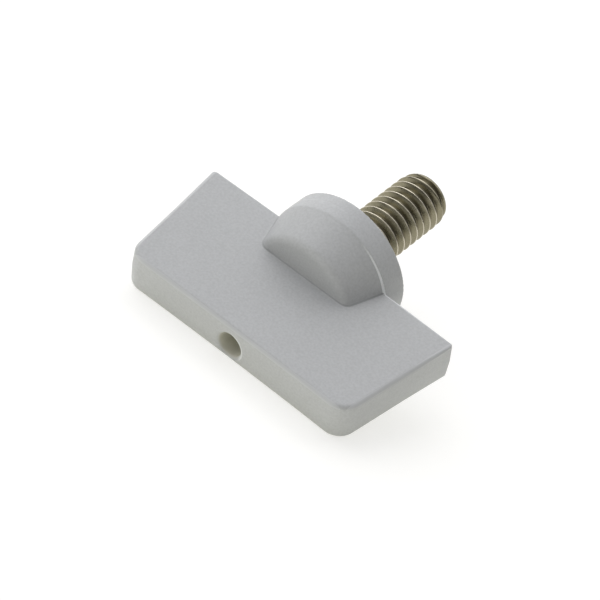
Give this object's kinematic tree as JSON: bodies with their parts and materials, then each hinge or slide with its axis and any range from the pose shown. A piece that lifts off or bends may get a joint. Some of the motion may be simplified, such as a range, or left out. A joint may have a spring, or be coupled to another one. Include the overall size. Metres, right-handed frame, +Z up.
{
  "type": "wing bolt",
  "caption": "Wing bolt: flat moulded plastic wing handle with a tapered hub and round collar on a threaded metal stud, for tightening by hand.",
  "frame": {"origin": "on the table, under the middle of the bolt's box, as it lies at rest", "axes": "+X along the wing, +Y the way the stud points over the table, +Z up; the stud's axis is in the Y-Z plane and slants up from the table"},
  "size_m": [0.0308, 0.0288, 0.0144],
  "materials": {
    "wing_handle": "fine satin moulded texture, light grey",
    "threaded_stud": "rolled thread with dark steel flanks and bright crests"
  },
  "bodies": {
    "root": {"wing_handle": "wing_handle", "threaded_stud": "threaded_stud"}
  },
  "joints": []
}
